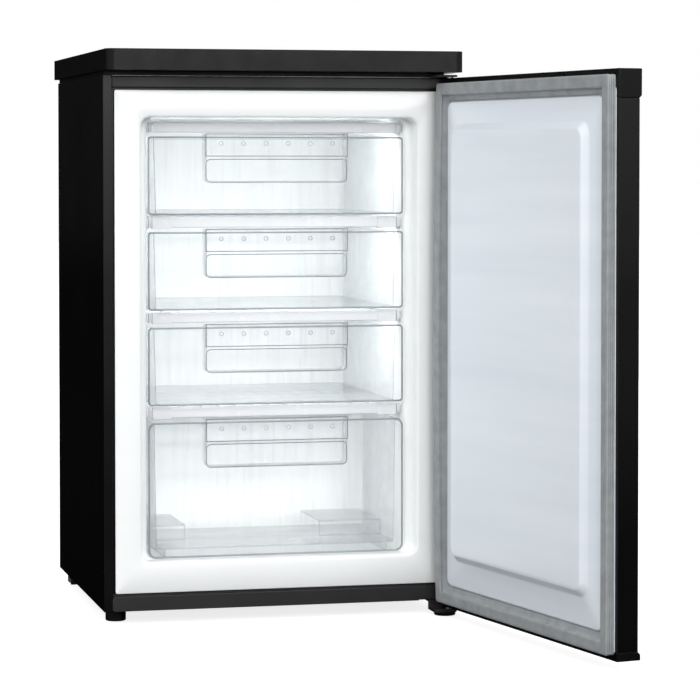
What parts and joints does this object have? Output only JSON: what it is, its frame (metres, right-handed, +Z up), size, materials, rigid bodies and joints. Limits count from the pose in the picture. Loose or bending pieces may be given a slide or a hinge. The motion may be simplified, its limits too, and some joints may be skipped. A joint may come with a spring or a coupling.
{
  "type": "under-counter freezer",
  "caption": "Upright under-counter freezer, black steel cabinet and worktop, side-hinged door open, clear pull-out drawers on cooling shelves.",
  "frame": {"origin": "middle of the footprint's bounding box with the door open, on the floor", "axes": "+Z up from the floor; +Y from the open door's free edge to the back of the worktop; +X to the right, towards the hinge side"},
  "size_m": [0.6562, 1.052, 0.86],
  "materials": {
    "worktop_plastic": "moulded black, fine grain",
    "worktop_laminate": "black laminate on chipboard",
    "black_steel": "black paint, semi-gloss",
    "dark_rail": "black paint, satin",
    "galvanised": "zinc-coated sheet",
    "foam": "foamed in place",
    "liner_white": "vacuum-formed, glossy",
    "trim_white": "moulded, glossy",
    "clear_drawer": "clear moulded polystyrene",
    "evaporator_paint": "white coated steel",
    "zinc": "zinc-plated",
    "seal": "soft grey profile",
    "magnet_strip": "plastic-bonded magnet",
    "door_liner": "vacuum-formed, glossy",
    "door_cap": "moulded black",
    "black_plastic": "moulded black",
    "black_rubber": "moulded black",
    "bush_plastic": "natural acetal",
    "compressor_black": "black enamel",
    "copper": "drawn copper",
    "knob_white": "moulded white"
  },
  "bodies": {
    "cabinet": {"worktop_surround": "worktop_plastic", "worktop_board": "worktop_laminate", "side_panel_left": "black_steel", "side_panel_right": "black_steel", "top_plate": "galvanised", "top_rail": "dark_rail", "bottom_rail": "dark_rail", "back_panel": "galvanised", "base_pan": "galvanised", "insulation_foam": "foam", "inner_liner": "liner_white", "evaporator_tube": "evaporator_paint", "evaporator_wires": "evaporator_paint", "shelf_trim_1": "trim_white", "shelf_trim_2": "trim_white", "shelf_trim_3": "trim_white", "shelf_trim_4": "trim_white", "trim_clips": "trim_white", "top_hinge_plate": "dark_rail", "top_hinge_pin": "zinc", "bottom_hinge_bracket": "dark_rail", "bottom_hinge_pin": "zinc", "hinge_screws": "zinc", "foot_insert": "black_plastic", "roller_brackets": "galvanised", "roller_axles": "zinc", "compressor_plate": "galvanised", "compressor_shell": "compressor_black", "compressor_grommets": "black_rubber", "compressor_bolts": "zinc", "relay_cover": "black_plastic", "condenser_tube": "compressor_black", "condenser_wires": "compressor_black", "condenser_brackets": "black_plastic", "filter_drier": "copper", "suction_line": "copper", "cord_gland": "black_rubber", "thermostat_box": "knob_white"},
    "door": {"door_skin": "black_steel", "door_top_cap": "door_cap", "door_bottom_cap": "door_cap", "door_foam": "foam", "door_liner": "door_liner", "door_gasket": "seal", "gasket_magnets": "magnet_strip", "hinge_bushes": "bush_plastic"},
    "foot_left": {"foot_left": "black_plastic"},
    "foot_right": {"foot_right": "black_plastic"},
    "roller_left": {"roller_left": "black_rubber"},
    "roller_right": {"roller_right": "black_rubber"},
    "thermostat_knob": {"thermostat_knob": "knob_white"},
    "drawer_1": {"drawer_front_1": "clear_drawer", "drawer_tub_1": "clear_drawer"},
    "drawer_2": {"drawer_front_2": "clear_drawer", "drawer_tub_2": "clear_drawer"},
    "drawer_3": {"drawer_front_3": "clear_drawer", "drawer_tub_3": "clear_drawer"},
    "drawer_4": {"drawer_front_4": "clear_drawer", "drawer_tub_4": "clear_drawer"}
  },
  "joints": [
    {"name": "door_hinge", "type": "hinge", "parent": "cabinet", "child": "door", "pos_m": [0.20136, -0.00697, 0.4], "axis": [0, 0, 1], "range_deg": [-100.75, 9.25]},
    {"name": "drawer_1_slide", "type": "slide", "parent": "cabinet", "child": "drawer_1", "axis": [0, -1, 0], "range_m": [0, 0.3]},
    {"name": "drawer_2_slide", "type": "slide", "parent": "cabinet", "child": "drawer_2", "axis": [0, -1, 0], "range_m": [0, 0.3]},
    {"name": "drawer_3_slide", "type": "slide", "parent": "cabinet", "child": "drawer_3", "axis": [0, -1, 0], "range_m": [0, 0.3]},
    {"name": "drawer_4_slide", "type": "slide", "parent": "cabinet", "child": "drawer_4", "axis": [0, -1, 0], "range_m": [0, 0.3]},
    {"name": "foot_left_screw", "type": "slide", "parent": "cabinet", "child": "foot_left", "axis": [0, 0, -1], "range_m": [0, 0.008]},
    {"name": "foot_right_screw", "type": "slide", "parent": "cabinet", "child": "foot_right", "axis": [0, 0, -1], "range_m": [0, 0.008]},
    {"name": "roller_left_spin", "type": "hinge", "parent": "cabinet", "child": "roller_left", "pos_m": [-0.31065, 0.44103, 0.01], "axis": [1, 0, 0], "continuous": true},
    {"name": "roller_right_spin", "type": "hinge", "parent": "cabinet", "child": "roller_right", "pos_m": [0.19936, 0.44103, 0.01], "axis": [1, 0, 0], "continuous": true},
    {"name": "thermostat_turn", "type": "hinge", "parent": "cabinet", "child": "thermostat_knob", "pos_m": [-0.26065, 0.49203, 0.1695], "axis": [0, -1, 0], "range_deg": [0, 270]}
  ]
}
